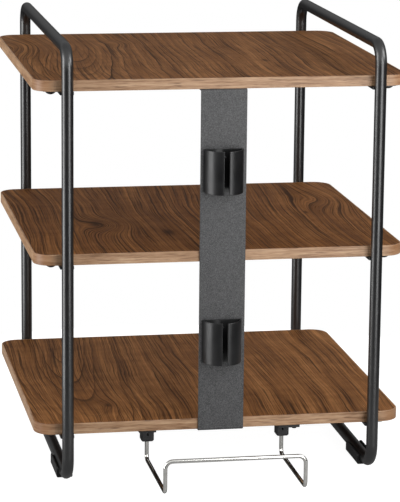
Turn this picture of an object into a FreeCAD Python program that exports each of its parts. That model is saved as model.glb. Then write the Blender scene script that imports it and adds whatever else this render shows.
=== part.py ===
import FreeCAD, Part
import math
import os
import Sketcher

# Open audio rack: two closed tube loops carry three wooden shelves on welded rails. On the cable side,
# which faces -Y, a folded steel spine carries two split cable clips, and a wire cradle plugs in below.
# Millimetres, +Z up, +X to the right when seen from the cable side. The floor is at Z = 0 and the
# origin is the middle of the whole rack's footprint, cradle included.

doc = FreeCAD.newDocument("audio_rack")

# Driving dimensions: every size that can be set by itself
dimensions = {
    # shelves
    "shelf_width": 550,
    "shelf_depth": 510,
    "shelf_thickness": 16,
    "shelf_corner_radius": 28,
    "edge_band_thickness": 2,
    "edge_band_round": 0.8,
    "bottom_shelf_height": 90,
    "shelf_pitch": 254,
    # tube loops
    "tube_diameter": 17.2,
    "loop_inset": 46,
    "loop_gap": 3.8,
    "loop_bend_radius": 30,
    "handle_rise": 45.4,
    # shelf rails and their screws
    "rail_width": 20,
    "rail_thickness": 4,
    "rail_saddle": 4,
    "weld_gap": 0.1,
    "tab_width": 24,
    "tab_thickness": 2,
    "tab_corner_radius": 9,
    "shelf_screw_out": 20,
    "shelf_screw_back": 35,
    "shelf_screw_head_diameter": 16,
    "shelf_screw_head_height": 5,
    "shelf_screw_rim": 0.8,
    "shelf_screw_diameter": 6,
    "shelf_screw_grip": 9,
    "hex_key_size": 4,
    "hex_key_depth": 2.5,
    "insert_diameter": 10,
    "insert_length": 11,
    "thread_clearance": 0.05,
    "hole_clearance": 0.4,
    # spine plate
    "spine_width": 68,
    "spine_thickness": 2,
    "spine_gap": 1,
    "spine_bend_radius": 1.2,
    "spine_edge_round": 0.7,
    "spine_flange": 42,
    "spine_screw_spacing": 40,
    "spine_screw_setback": 24,
    # cable clips
    "clip_radius": 29,
    "clip_wall": 2.6,
    "clip_back": 2.6,
    "clip_height": 64,
    "clip_slit": 7.4,
    "clip_lip_round": 1,
    "clip_rim_round": 0.8,
    "clip_screw_spacing": 36,
    # small pan head screws
    "pan_head_diameter": 7.4,
    "pan_head_height": 2.4,
    "pan_head_round": 1.2,
    "pan_screw_diameter": 4,
    "wood_screw_grip": 10,
    "clip_screw_end": 2,
    # wire cradle and its sockets
    "wire_diameter": 6,
    "cradle_width": 204,
    "cradle_offset": -6,
    "cradle_reach": 153,
    "cradle_drop": 47,
    "cradle_rise": 46,
    "cradle_lower_bend": 8,
    "cradle_upper_bend": 11,
    "leg_setback": 14,
    "leg_clearance": 0.05,
    "leg_end_gap": 0.3,
    "socket_block": 19,
    "socket_height": 18,
    "socket_bore_depth": 14,
    "socket_length": 35,
    "socket_width": 26,
    "socket_flange": 4,
    "socket_corner_round": 3,
    "socket_block_round": 2.5,
    "socket_chamfer": 2.2,
    "socket_slot_width": 2.4,
    "socket_slot_height": 5,
    "socket_screw_spacing": 15,
    # snap-on foot glides
    "foot_length": 74,
    "foot_setback": 40,
    "foot_base": 2.5,
    "foot_wall": 3.2,
    "foot_clearance": 0.1,
    "foot_snap_rise": 1.6,
    "foot_wall_rise": 5.5,
    "foot_flare": 1.5,
    "foot_end_round": 5,
    "foot_base_round": 2,
}

# Places and sizes that follow from the driving dimensions. Y is counted from the middle of the shelves.
places = {
    "origin": "0",
    "front_reach": "Dims.shelf_depth / 2 + Dims.cradle_reach + Dims.wire_diameter / 2",
    "rear_reach": "Dims.shelf_depth / 2 + Dims.loop_gap + Dims.tube_diameter",
    "rack_y": "(front_reach - rear_reach) / 2",
    "front_edge": "-Dims.shelf_depth / 2",
    # shelf outline inside its edge band
    "shelf_half_width": "Dims.shelf_width / 2",
    "shelf_half_depth": "Dims.shelf_depth / 2",
    "board_half_width": "shelf_half_width - Dims.edge_band_thickness",
    "board_half_depth": "shelf_half_depth - Dims.edge_band_thickness",
    "board_corner_radius": "Dims.shelf_corner_radius - Dims.edge_band_thickness",
    # shelf levels
    "bottom_top": "Dims.bottom_shelf_height",
    "middle_top": "bottom_top + Dims.shelf_pitch",
    "top_top": "middle_top + Dims.shelf_pitch",
    "bottom_under": "bottom_top - Dims.shelf_thickness",
    "middle_under": "middle_top - Dims.shelf_thickness",
    "top_under": "top_top - Dims.shelf_thickness",
    # tube loops
    "tube_radius": "Dims.tube_diameter / 2",
    "loop_x": "shelf_half_width - Dims.loop_inset",
    "post_y": "Dims.shelf_depth / 2 + Dims.loop_gap + tube_radius",
    "bottom_bar_z": "Dims.foot_base + tube_radius",
    "top_bar_z": "top_top + Dims.handle_rise",
    "loop_middle_z": "(bottom_bar_z + top_bar_z) / 2",
    "loop_half_height": "(top_bar_z - bottom_bar_z) / 2",
    # rails, tabs and shelf screws
    "rail_half_width": "Dims.rail_width / 2",
    "rail_end": "post_y - tube_radius + Dims.rail_saddle",
    "saddle_diameter": "Dims.tube_diameter + 2 * Dims.weld_gap",
    "tab_half_width": "Dims.tab_width / 2",
    "tab_outer": "Dims.shelf_screw_out + tab_half_width",
    "shelf_screw_x": "loop_x + Dims.shelf_screw_out",
    "shelf_screw_y": "post_y - Dims.shelf_screw_back",
    "tab_front": "shelf_screw_y + tab_half_width",
    "tab_rear": "shelf_screw_y - tab_half_width",
    "tab_hole_diameter": "Dims.shelf_screw_diameter + Dims.hole_clearance",
    "shelf_screw_head_radius": "Dims.shelf_screw_head_diameter / 2",
    "shelf_screw_radius": "Dims.shelf_screw_diameter / 2",
    "shelf_screw_length": "Dims.tab_thickness + Dims.shelf_screw_grip",
    "insert_bore": "Dims.shelf_screw_diameter + 2 * Dims.thread_clearance",
    "insert_pocket_diameter": "Dims.insert_diameter + 2 * Dims.thread_clearance",
    "insert_pocket_depth": "Dims.insert_length + Dims.thread_clearance",
    "bottom_screw_z": "bottom_under - Dims.tab_thickness",
    "middle_screw_z": "middle_under - Dims.tab_thickness",
    "top_screw_z": "top_under - Dims.tab_thickness",
    # spine plate
    "spine_back": "front_edge - Dims.spine_gap",
    "spine_face": "spine_back - Dims.spine_thickness",
    "spine_face_y": "rack_y + spine_face",
    "spine_flange_end": "spine_face + Dims.spine_flange",
    "spine_bottom": "bottom_under - Dims.spine_thickness",
    "spine_top_inside": "top_under - Dims.spine_thickness",
    "spine_outer_bend": "Dims.spine_bend_radius + Dims.spine_thickness",
    "spine_screw_x": "Dims.spine_screw_spacing / 2",
    "spine_screw_y": "front_edge + Dims.spine_screw_setback",
    "spine_screw_row_y": "rack_y + spine_screw_y",
    # small screws and their holes
    "pan_head_radius": "Dims.pan_head_diameter / 2",
    "pan_screw_radius": "Dims.pan_screw_diameter / 2",
    "pan_hole_diameter": "Dims.pan_screw_diameter + Dims.hole_clearance",
    "pilot_diameter": "Dims.pan_screw_diameter + 2 * Dims.thread_clearance",
    "pilot_depth": "Dims.wood_screw_grip + Dims.thread_clearance",
    "spine_screw_length": "Dims.spine_thickness + Dims.wood_screw_grip",
    "socket_screw_length": "Dims.socket_flange + Dims.wood_screw_grip",
    "clip_screw_length": "Dims.clip_back + Dims.spine_thickness + Dims.clip_screw_end",
    # cable clips
    "clip_inner_radius": "Dims.clip_radius - Dims.clip_wall",
    "clip_half_slit": "Dims.clip_slit / 2",
    "clip_back_half": "sqrt(clip_inner_radius ^ 2 - Dims.clip_back ^ 2)",
    "clip_outer_lip": "sqrt(Dims.clip_radius ^ 2 - clip_half_slit ^ 2)",
    "clip_inner_lip": "sqrt(clip_inner_radius ^ 2 - clip_half_slit ^ 2)",
    "clip_screw_low": "Dims.clip_height / 2 - Dims.clip_screw_spacing / 2",
    "clip_screw_high": "Dims.clip_height / 2 + Dims.clip_screw_spacing / 2",
    "clip_screw_y": "spine_face_y - Dims.clip_back",
    "upper_clip_z": "(middle_top + top_under - Dims.clip_height) / 2",
    "lower_clip_z": "(bottom_top + middle_under - Dims.clip_height) / 2",
    "upper_clip_screw_low": "upper_clip_z + clip_screw_low",
    "upper_clip_screw_high": "upper_clip_z + clip_screw_high",
    "lower_clip_screw_low": "lower_clip_z + clip_screw_low",
    "lower_clip_screw_high": "lower_clip_z + clip_screw_high",
    # wire cradle and its sockets
    "wire_radius": "Dims.wire_diameter / 2",
    "cradle_left_x": "Dims.cradle_offset - Dims.cradle_width / 2",
    "cradle_right_x": "Dims.cradle_offset + Dims.cradle_width / 2",
    "leg_y": "front_edge + Dims.leg_setback",
    "leg_row_y": "rack_y + leg_y",
    "leg_top_z": "bottom_under - Dims.socket_height + Dims.socket_bore_depth - Dims.leg_end_gap",
    "cradle_bar_y": "rack_y + front_edge - Dims.cradle_reach",
    "cradle_run_z": "bottom_under - Dims.cradle_drop",
    "cradle_bar_z": "cradle_run_z + Dims.cradle_rise",
    "socket_bore": "Dims.wire_diameter + 2 * Dims.leg_clearance",
    "socket_half_block": "Dims.socket_block / 2",
    "socket_tail": "Dims.socket_length - socket_half_block",
    "socket_half_width": "Dims.socket_width / 2",
    "socket_block_depth": "Dims.socket_height - Dims.socket_flange",
    "socket_half_slot": "Dims.socket_slot_width / 2",
    "socket_slot_low": "Dims.socket_flange + Dims.socket_slot_height",
    "socket_screw_along": "(socket_tail + socket_half_block) / 2",
    "socket_screw_across": "Dims.socket_screw_spacing / 2",
    "right_socket_screw_x": "cradle_right_x + socket_screw_along",
    "right_socket_screw_front": "leg_y - socket_screw_across",
    "right_socket_screw_rear": "leg_y + socket_screw_across",
    "left_socket_screw_y": "leg_y + socket_screw_along",
    "left_socket_screw_left": "cradle_left_x - socket_screw_across",
    "left_socket_screw_right": "cradle_left_x + socket_screw_across",
    "right_socket_row_front": "rack_y + right_socket_screw_front",
    "right_socket_row_rear": "rack_y + right_socket_screw_rear",
    "left_socket_row_y": "rack_y + left_socket_screw_y",
    "socket_screw_z": "bottom_under - Dims.socket_flange",
    # foot glides
    "foot_seat_radius": "tube_radius + Dims.foot_clearance",
    "foot_half_width": "foot_seat_radius + Dims.foot_wall",
    "foot_snap_z": "bottom_bar_z + Dims.foot_snap_rise",
    "foot_snap_x": "sqrt(foot_seat_radius ^ 2 - Dims.foot_snap_rise ^ 2)",
    "foot_wall_top": "bottom_bar_z + Dims.foot_wall_rise",
    "foot_flare_x": "foot_snap_x + Dims.foot_flare",
    "foot_middle": "post_y - Dims.foot_setback - Dims.foot_length / 2",
    "front_foot_y": "rack_y - foot_middle",
    "rear_foot_y": "rack_y + foot_middle",
    # the four shelf screws' rows, seen in the rack's own frame
    "front_screw_row": "rack_y - shelf_screw_y",
    "rear_screw_row": "rack_y + shelf_screw_y",
}


def fill_sheet(name, cells):
    sheet = doc.addObject("Spreadsheet::Sheet", name)
    for row, (alias, content) in enumerate(cells.items(), start=1):
        sheet.set("A%d" % row, alias)
        sheet.set("B%d" % row, str(content))
        sheet.setAlias("B%d" % row, alias)
    return sheet


sheets = {
    "Dims": fill_sheet("Dims", dimensions),
    "Places": fill_sheet("Places", {alias: "=" + formula for alias, formula in places.items()}),
}
doc.recompute()


def size(name):
    # number behind a dimension's or place's name, which may carry a minus sign
    bare = name.lstrip("-")
    sheet = sheets["Dims"] if bare in dimensions else sheets["Places"]
    number = float(sheet.get(bare))
    return -number if name.startswith("-") else number


def cell(name):
    # the same name as the expression that binds a property to its cell
    bare = name.lstrip("-")
    owner = "Dims." if bare in dimensions else "Places."
    return ("-" if name.startswith("-") else "") + owner + bare


def bind(thing, path, name):
    thing.setExpression(path, cell(name))


def place(thing, x, y, z, axis=(0, 0, 1), angle=0):
    turn = FreeCAD.Rotation(FreeCAD.Vector(*axis), angle)
    thing.Placement = FreeCAD.Placement(FreeCAD.Vector(size(x), size(y), size(z)), turn)
    for path, name in (("x", x), ("y", y), ("z", z)):
        bind(thing, "Placement.Base." + path, name)


def new_body(label, x="origin", y="rack_y", z="origin", angle=0):
    body = doc.addObject("PartDesign::Body", label)
    body.Label = label
    place(body, x, y, z, angle=angle)
    return body


def new_sketch(body, name, role, lift=None):
    # sketch on one of the body's own planes, lifted along the plane's normal
    sketch = body.newObject("Sketcher::SketchObject", name)
    plane = next(feature for feature in body.Origin.OriginFeatures if feature.Role == role)
    sketch.AttachmentSupport = [(plane, "")]
    sketch.MapMode = "FlatFace"
    if lift:
        bind(sketch, "AttachmentOffset.Base.z", lift)
    return sketch


def point(x, y):
    return FreeCAD.Vector(size(x), size(y), 0)


def hold(sketch, kind, *arguments, name):
    # dimension constraint bound to a cell
    index = sketch.addConstraint(Sketcher.Constraint(kind, *arguments, size(name)))
    label = "held%d" % index
    sketch.renameConstraint(index, label)
    bind(sketch, "Constraints." + label, name)


def pin(sketch, geometry, vertex, x=None, y=None):
    if x is not None:
        hold(sketch, "DistanceX", -1, 1, geometry, vertex, name=x)
    if y is not None:
        hold(sketch, "DistanceY", -1, 1, geometry, vertex, name=y)


def tie(sketch, kind, *arguments):
    sketch.addConstraint(Sketcher.Constraint(kind, *arguments))


def line(sketch, start, end):
    return sketch.addGeometry(Part.LineSegment(start, end))


def arc(sketch, centre, radius, first, last):
    circle = Part.Circle(centre, FreeCAD.Vector(0, 0, 1), radius)
    return sketch.addGeometry(Part.ArcOfCircle(circle, first, last))


def draw_polygon(sketch, corners):
    # closed outline whose corners are pairs of names
    count = len(corners)
    sides = [line(sketch, point(*corners[i]), point(*corners[(i + 1) % count])) for i in range(count)]
    for i, side in enumerate(sides):
        tie(sketch, "Coincident", side, 2, sides[(i + 1) % count], 1)
        pin(sketch, side, 1, *corners[i])


def draw_box(sketch, left, right, low, high):
    draw_polygon(sketch, [(left, low), (right, low), (right, high), (left, high)])


def draw_circles(sketch, centres, diameter):
    for x, y in centres:
        ring = sketch.addGeometry(Part.Circle(point(x, y), FreeCAD.Vector(0, 0, 1), size(diameter) / 2))
        pin(sketch, ring, 3, x, y)
        hold(sketch, "Diameter", ring, name=diameter)


def pad(body, sketch, length, reverse=False, both_ways=False):
    feature = body.newObject("PartDesign::Pad", sketch.Name + "_pad")
    feature.Profile = sketch
    bind(feature, "Length", length)
    feature.Reversed = reverse
    if both_ways:
        feature.SideType = "Symmetric"
    doc.recompute()
    return feature


def pocket(body, sketch, depth=None, reverse=False):
    # without a depth the cut runs right through, both ways from the sketch
    feature = body.newObject("PartDesign::Pocket", sketch.Name + "_cut")
    feature.Profile = sketch
    if depth:
        bind(feature, "Length", depth)
        feature.Reversed = reverse
    else:
        feature.SideType = "Symmetric"
        feature.Type = "ThroughAll"
    doc.recompute()
    return feature


def revolve(body, sketch):
    feature = body.newObject("PartDesign::Revolution", sketch.Name + "_turn")
    feature.Profile = sketch
    feature.ReferenceAxis = (sketch, ["V_Axis"])
    feature.Angle = 360
    doc.recompute()
    return feature


def edge_names(feature, test):
    return ["Edge%d" % number for number, edge in enumerate(feature.Shape.Edges, start=1) if test(edge)]


def dress(body, kind, base, size_name, test):
    # round or bevel the edges of a feature that pass a test
    feature = body.newObject("PartDesign::" + kind, base.Name + "_" + kind.lower())
    feature.Base = (base, edge_names(base, test))
    bind(feature, "Radius" if kind == "Fillet" else "Size", size_name)
    doc.recompute()
    return feature


def near(first, second):
    return abs(first - second) < 0.001


def spans(edge, axis):
    # how far an edge reaches along X, Y or Z
    return abs(edge.firstVertex().Point[axis] - edge.lastVertex().Point[axis])


def runs_along(edge, axis):
    return near(spans(edge, axis), edge.Length)


def upright(edge):
    return runs_along(edge, 2)


def lies_at(edge, axis, number):
    return all(near(vertex.Point[axis], number) for vertex in edge.Vertexes)


def copies(label, original, spots, axis=(0, 0, 1), angle=0):
    # one node made of the same piece at several spots
    links = []
    for number, (x, y, z) in enumerate(spots, start=1):
        link = doc.addObject("App::Link", "%s_%d" % (label, number))
        link.LinkedObject = original
        place(link, x, y, z, axis, angle)
        links.append(link)
    group = doc.addObject("Part::Compound", label)
    group.Label = label
    group.Links = links
    return group


# Tube loop: a round tube bent into one closed upright ring, swept along the middle line of its posts,
# handle bar and floor bar. The line starts half way up the front post, where the tube's circle stands.
def make_loop(label, x):
    body = new_body(label, x=x, z="loop_middle_z")
    path = new_sketch(body, label + "_line", "YZ_Plane")
    half_depth = size("post_y")
    half_height = size("loop_half_height")
    bend = size("loop_bend_radius")
    flat_depth = half_depth - bend
    flat_height = half_height - bend

    def spot(y, z):
        return FreeCAD.Vector(y, z, 0)

    front_up = line(path, spot(-half_depth, 0), spot(-half_depth, flat_height))
    front_top = arc(path, spot(-flat_depth, flat_height), bend, math.pi / 2, math.pi)
    handle = line(path, spot(-flat_depth, half_height), spot(flat_depth, half_height))
    rear_top = arc(path, spot(flat_depth, flat_height), bend, 0, math.pi / 2)
    rear = line(path, spot(half_depth, flat_height), spot(half_depth, -flat_height))
    rear_low = arc(path, spot(flat_depth, -flat_height), bend, -math.pi / 2, 0)
    floor_bar = line(path, spot(flat_depth, -half_height), spot(-flat_depth, -half_height))
    front_low = arc(path, spot(-flat_depth, -flat_height), bend, math.pi, 1.5 * math.pi)
    front_down = line(path, spot(-half_depth, -flat_height), spot(-half_depth, 0))
    for first, bend_arc, second in (
        (front_up, front_top, handle),
        (handle, rear_top, rear),
        (rear, rear_low, floor_bar),
        (floor_bar, front_low, front_down),
    ):
        tie(path, "Tangent", first, 2, bend_arc, 2)
        tie(path, "Tangent", bend_arc, 1, second, 1)
    for upright_line in (front_up, rear, front_down):
        tie(path, "Vertical", upright_line)
    for level_line in (handle, floor_bar):
        tie(path, "Horizontal", level_line)
    for bend_arc in (rear_top, rear_low, front_low):
        tie(path, "Equal", front_top, bend_arc)
    tie(path, "Coincident", front_down, 2, front_up, 1)
    tie(path, "PointOnObject", front_up, 1, -1)
    hold(path, "Radius", front_top, name="loop_bend_radius")
    pin(path, front_up, 1, x="-post_y")
    pin(path, rear, 1, x="post_y")
    pin(path, handle, 1, y="loop_half_height")
    pin(path, floor_bar, 1, y="-loop_half_height")

    section = new_sketch(body, label + "_section", "XY_Plane")
    draw_circles(section, [("origin", "-post_y")], "tube_diameter")
    doc.recompute()
    sweep = body.newObject("PartDesign::AdditivePipe", label + "_sweep")
    sweep.Profile = (section, [""])
    sweep.Spine = (path, ["Edge%d" % number for number in range(1, path.GeometryCount + 1)])
    doc.recompute()
    return body


# Shelf board: walnut faced panel with rounded corners and blind holes for inserts and screws underneath.
def make_board(label, under, pilots):
    body = new_body(label, z=under)
    outline = new_sketch(body, label + "_outline", "XY_Plane")
    draw_box(outline, "-board_half_width", "board_half_width", "-board_half_depth", "board_half_depth")
    panel = pad(body, outline, "shelf_thickness")
    dress(body, "Fillet", panel, "board_corner_radius", upright)
    inserts = new_sketch(body, label + "_insert_holes", "XY_Plane")
    draw_circles(inserts, shelf_screw_spots, "insert_pocket_diameter")
    pocket(body, inserts, "insert_pocket_depth", reverse=True)
    if pilots:
        holes = new_sketch(body, label + "_pilot_holes", "XY_Plane")
        draw_circles(holes, pilots, "pilot_diameter")
        pocket(body, holes, "pilot_depth", reverse=True)
    return body


# Edge band: a strip round the board's edge, flush with its faces, with softened outer edges.
def make_edge_band(label, under):
    body = new_body(label, z=under)
    ring = new_sketch(body, label + "_ring", "XY_Plane")
    draw_box(ring, "-shelf_half_width", "shelf_half_width", "-shelf_half_depth", "shelf_half_depth")
    draw_box(ring, "-board_half_width", "board_half_width", "-board_half_depth", "board_half_depth")
    strip = pad(body, ring, "shelf_thickness")

    def outer_corner(edge):
        return upright(edge) and near(abs(edge.firstVertex().X), size("shelf_half_width"))

    outside = dress(body, "Fillet", strip, "shelf_corner_radius", outer_corner)

    def inner_corner(edge):
        on_side = near(abs(edge.firstVertex().X), size("board_half_width"))
        return upright(edge) and on_side and near(abs(edge.firstVertex().Y), size("board_half_depth"))

    inside = dress(body, "Fillet", outside, "board_corner_radius", inner_corner)
    straight = size("shelf_half_depth") - size("shelf_corner_radius")

    def outer_side(edge):
        # one straight outer edge above and one below: the rounding follows the whole outline from there
        on_side = lies_at(edge, 0, size("shelf_half_width"))
        return on_side and runs_along(edge, 1) and near(edge.Length, 2 * straight)

    dress(body, "Fillet", inside, "edge_band_round", outer_side)
    return body


# Shelf rail: flat bar welded between the posts, hollowed at both ends to saddle the tube, with two thin
# tabs towards +X for the shelf screws. Its top face meets the shelf's underside.
def make_rail(label, x, under, angle):
    body = new_body(label, x=x, z=under, angle=angle)
    bar = new_sketch(body, label + "_bar", "XY_Plane")
    draw_box(bar, "-rail_half_width", "rail_half_width", "-rail_end", "rail_end")
    pad(body, bar, "rail_thickness", reverse=True)
    tabs = new_sketch(body, label + "_tabs", "XY_Plane")
    draw_box(tabs, "origin", "tab_outer", "tab_rear", "tab_front")
    draw_box(tabs, "origin", "tab_outer", "-tab_front", "-tab_rear")
    tab_pad = pad(body, tabs, "tab_thickness", reverse=True)

    def tab_corner(edge):
        return upright(edge) and near(edge.firstVertex().X, size("tab_outer"))

    dress(body, "Fillet", tab_pad, "tab_corner_radius", tab_corner)
    saddles = new_sketch(body, label + "_saddles", "XY_Plane")
    draw_circles(saddles, [("origin", "-post_y"), ("origin", "post_y")], "saddle_diameter")
    pocket(body, saddles)
    holes = new_sketch(body, label + "_holes", "XY_Plane")
    spots = [("shelf_screw_out", "-shelf_screw_y"), ("shelf_screw_out", "shelf_screw_y")]
    draw_circles(holes, spots, "tab_hole_diameter")
    pocket(body, holes)
    return body


# Shelf screw: domed furniture screw with a hexagon recess, turned about Z, its head hanging below Z = 0.
def make_shelf_screw(label):
    body = new_body(label, y="origin")
    half = new_sketch(body, label + "_half", "XZ_Plane")
    head_radius = size("shelf_screw_head_radius")
    head_height = size("shelf_screw_head_height")
    rim = size("shelf_screw_rim")
    sag = head_height - rim
    dome_radius = (head_radius ** 2 + sag ** 2) / (2 * sag)
    dome_centre = FreeCAD.Vector(0, dome_radius - head_height, 0)
    low_angle = math.atan2(-rim - dome_centre.y, head_radius)
    dome = arc(half, dome_centre, dome_radius, -math.pi / 2, low_angle)
    corners = [
        ("shelf_screw_head_radius", "-shelf_screw_rim"),
        ("shelf_screw_head_radius", "origin"),
        ("shelf_screw_radius", "origin"),
        ("shelf_screw_radius", "shelf_screw_length"),
        ("origin", "shelf_screw_length"),
        ("origin", "-shelf_screw_head_height"),
    ]
    sides = [line(half, point(*corners[i]), point(*corners[i + 1])) for i in range(len(corners) - 1)]
    for i, side in enumerate(sides):
        pin(half, side, 1, *corners[i])
    for first, second in zip(sides, sides[1:]):
        tie(half, "Coincident", first, 2, second, 1)
    pin(half, sides[-1], 2, *corners[-1])
    tie(half, "Coincident", dome, 1, sides[-1], 2)
    tie(half, "Coincident", dome, 2, sides[0], 1)
    tie(half, "PointOnObject", dome, 3, -2)
    revolve(body, half)
    recess = new_sketch(body, label + "_recess", "XY_Plane", lift="-shelf_screw_head_height")
    across_corners = size("hex_key_size") / math.cos(math.pi / 6) / 2
    angles = [math.pi / 6 + number * math.pi / 3 for number in range(6)]
    tips = [FreeCAD.Vector(across_corners * math.cos(a), across_corners * math.sin(a), 0) for a in angles]
    flats = [line(recess, tips[i], tips[(i + 1) % 6]) for i in range(6)]
    ring = Part.Circle(FreeCAD.Vector(0, 0, 0), FreeCAD.Vector(0, 0, 1), across_corners)
    guide = recess.addGeometry(ring, True)
    tie(recess, "Coincident", guide, 3, -1, 1)
    for i, flat in enumerate(flats):
        tie(recess, "Coincident", flat, 2, flats[(i + 1) % 6], 1)
        tie(recess, "PointOnObject", flat, 1, guide)
        if i:
            tie(recess, "Equal", flats[0], flat)
    # the flat after a corner at 90 degrees and its opposite stand upright a key size apart
    tie(recess, "Vertical", flats[2])
    hold(recess, "DistanceX", flats[2], 1, flats[5], 1, name="hex_key_size")
    pocket(body, recess, "hex_key_depth", reverse=True)
    return body


# Threaded insert: plain sleeve pressed into the board from below.
def make_insert(label):
    body = new_body(label, y="origin")
    ring = new_sketch(body, label + "_ring", "XY_Plane")
    draw_circles(ring, [("origin", "origin")], "insert_diameter")
    draw_circles(ring, [("origin", "origin")], "insert_bore")
    pad(body, ring, "insert_length")
    return body


# Small pan head screw turned about Z: the head hangs below Z = 0 and the shank rises from it.
def make_pan_screw(label, length):
    body = new_body(label, y="origin")
    half = new_sketch(body, label + "_half", "XZ_Plane")
    draw_polygon(half, [
        ("origin", "-pan_head_height"),
        ("pan_head_radius", "-pan_head_height"),
        ("pan_head_radius", "origin"),
        ("pan_screw_radius", "origin"),
        ("pan_screw_radius", length),
        ("origin", length),
    ])
    turned = revolve(body, half)

    def head_rim(edge):
        return lies_at(edge, 2, -size("pan_head_height"))

    dress(body, "Fillet", turned, "pan_head_round", head_rim)
    return body


# Spine: one strip of sheet steel folded back under the top shelf and under the bottom shelf.
def make_spine(label):
    body = new_body(label)
    fold = new_sketch(body, label + "_fold", "YZ_Plane")
    draw_polygon(fold, [
        ("spine_flange_end", "top_under"),
        ("spine_face", "top_under"),
        ("spine_face", "spine_bottom"),
        ("spine_flange_end", "spine_bottom"),
        ("spine_flange_end", "bottom_under"),
        ("spine_back", "bottom_under"),
        ("spine_back", "spine_top_inside"),
        ("spine_flange_end", "spine_top_inside"),
    ])
    sheet = pad(body, fold, "spine_width", both_ways=True)

    def inner_bend(edge):
        return runs_along(edge, 0) and lies_at(edge, 1, size("spine_back"))

    def outer_bend(edge):
        return runs_along(edge, 0) and lies_at(edge, 1, size("spine_face"))

    def face_side(edge):
        return upright(edge) and lies_at(edge, 1, size("spine_face"))

    bent = dress(body, "Fillet", sheet, "spine_bend_radius", inner_bend)
    bent = dress(body, "Fillet", bent, "spine_outer_bend", outer_bend)
    dress(body, "Fillet", bent, "spine_edge_round", face_side)
    flange_holes = new_sketch(body, label + "_flange_holes", "XY_Plane")
    spots = [("-spine_screw_x", "spine_screw_y"), ("spine_screw_x", "spine_screw_y")]
    draw_circles(flange_holes, spots, "pan_hole_diameter")
    pocket(body, flange_holes)
    clip_holes = new_sketch(body, label + "_clip_holes", "XZ_Plane")
    draw_circles(clip_holes, [("origin", name) for name in clip_screw_levels], "pilot_diameter")
    pocket(body, clip_holes)
    return body


# Cable clip: half round channel with a flat back and a slit down its front, open at both ends.
def make_clip(label, z):
    body = new_body(label, y="spine_face_y", z=z)
    outline = new_sketch(body, label + "_outline", "XY_Plane")
    centre = FreeCAD.Vector(0, 0, 0)
    outer = size("clip_radius")
    inner = size("clip_inner_radius")
    outer_turn = math.atan2(-size("clip_outer_lip"), size("clip_half_slit"))
    inner_turn = math.atan2(-size("clip_inner_lip"), size("clip_half_slit"))
    back_turn = math.asin(-size("clip_back") / inner)
    right_outer = arc(outline, centre, outer, outer_turn, 0)
    left_outer = arc(outline, centre, outer, -math.pi, -math.pi - outer_turn)
    left_inner = arc(outline, centre, inner, -math.pi - back_turn, -math.pi - inner_turn)
    right_inner = arc(outline, centre, inner, inner_turn, back_turn)
    back = line(outline, point("clip_radius", "origin"), point("-clip_radius", "origin"))
    lip_points = {
        side: [point(side + "clip_half_slit", name) for name in ("-clip_outer_lip", "-clip_inner_lip")]
        for side in ("-", "")
    }
    left_lip = line(outline, lip_points["-"][0], lip_points["-"][1])
    seat = line(outline, point("-clip_back_half", "-clip_back"), point("clip_back_half", "-clip_back"))
    right_lip = line(outline, lip_points[""][1], lip_points[""][0])
    for first, first_end, second, second_end in (
        (right_outer, 2, back, 1),
        (back, 2, left_outer, 1),
        (left_outer, 2, left_lip, 1),
        (left_lip, 2, left_inner, 2),
        (left_inner, 1, seat, 1),
        (seat, 2, right_inner, 2),
        (right_inner, 1, right_lip, 1),
        (right_lip, 2, right_outer, 1),
    ):
        tie(outline, "Coincident", first, first_end, second, second_end)
    for curve in (right_outer, left_outer, left_inner, right_inner):
        tie(outline, "Coincident", curve, 3, -1, 1)
    hold(outline, "Radius", right_outer, name="clip_radius")
    hold(outline, "Radius", right_inner, name="clip_inner_radius")
    tie(outline, "PointOnObject", back, 1, -1)
    tie(outline, "PointOnObject", back, 2, -1)
    pin(outline, seat, 1, y="-clip_back")
    pin(outline, seat, 2, y="-clip_back")
    pin(outline, left_lip, 1, x="-clip_half_slit")
    pin(outline, left_lip, 2, x="-clip_half_slit")
    pin(outline, right_lip, 1, x="clip_half_slit")
    pin(outline, right_lip, 2, x="clip_half_slit")
    tie(outline, "Equal", right_outer, left_outer)
    tie(outline, "Equal", right_inner, left_inner)
    channel = pad(body, outline, "clip_height")

    def lip_edge(edge):
        return upright(edge) and near(abs(edge.firstVertex().X), size("clip_half_slit"))

    def outer_rim(edge):
        level = near(edge.firstVertex().Z, edge.lastVertex().Z)
        return level and hasattr(edge.Curve, "Radius") and near(edge.Curve.Radius, size("clip_radius"))

    lips = dress(body, "Fillet", channel, "clip_lip_round", lip_edge)
    dress(body, "Fillet", lips, "clip_rim_round", outer_rim)
    holes = new_sketch(body, label + "_holes", "XZ_Plane")
    draw_circles(holes, [("origin", "clip_screw_low"), ("origin", "clip_screw_high")], "pan_hole_diameter")
    pocket(body, holes, "clip_back", reverse=True)
    return body


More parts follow.
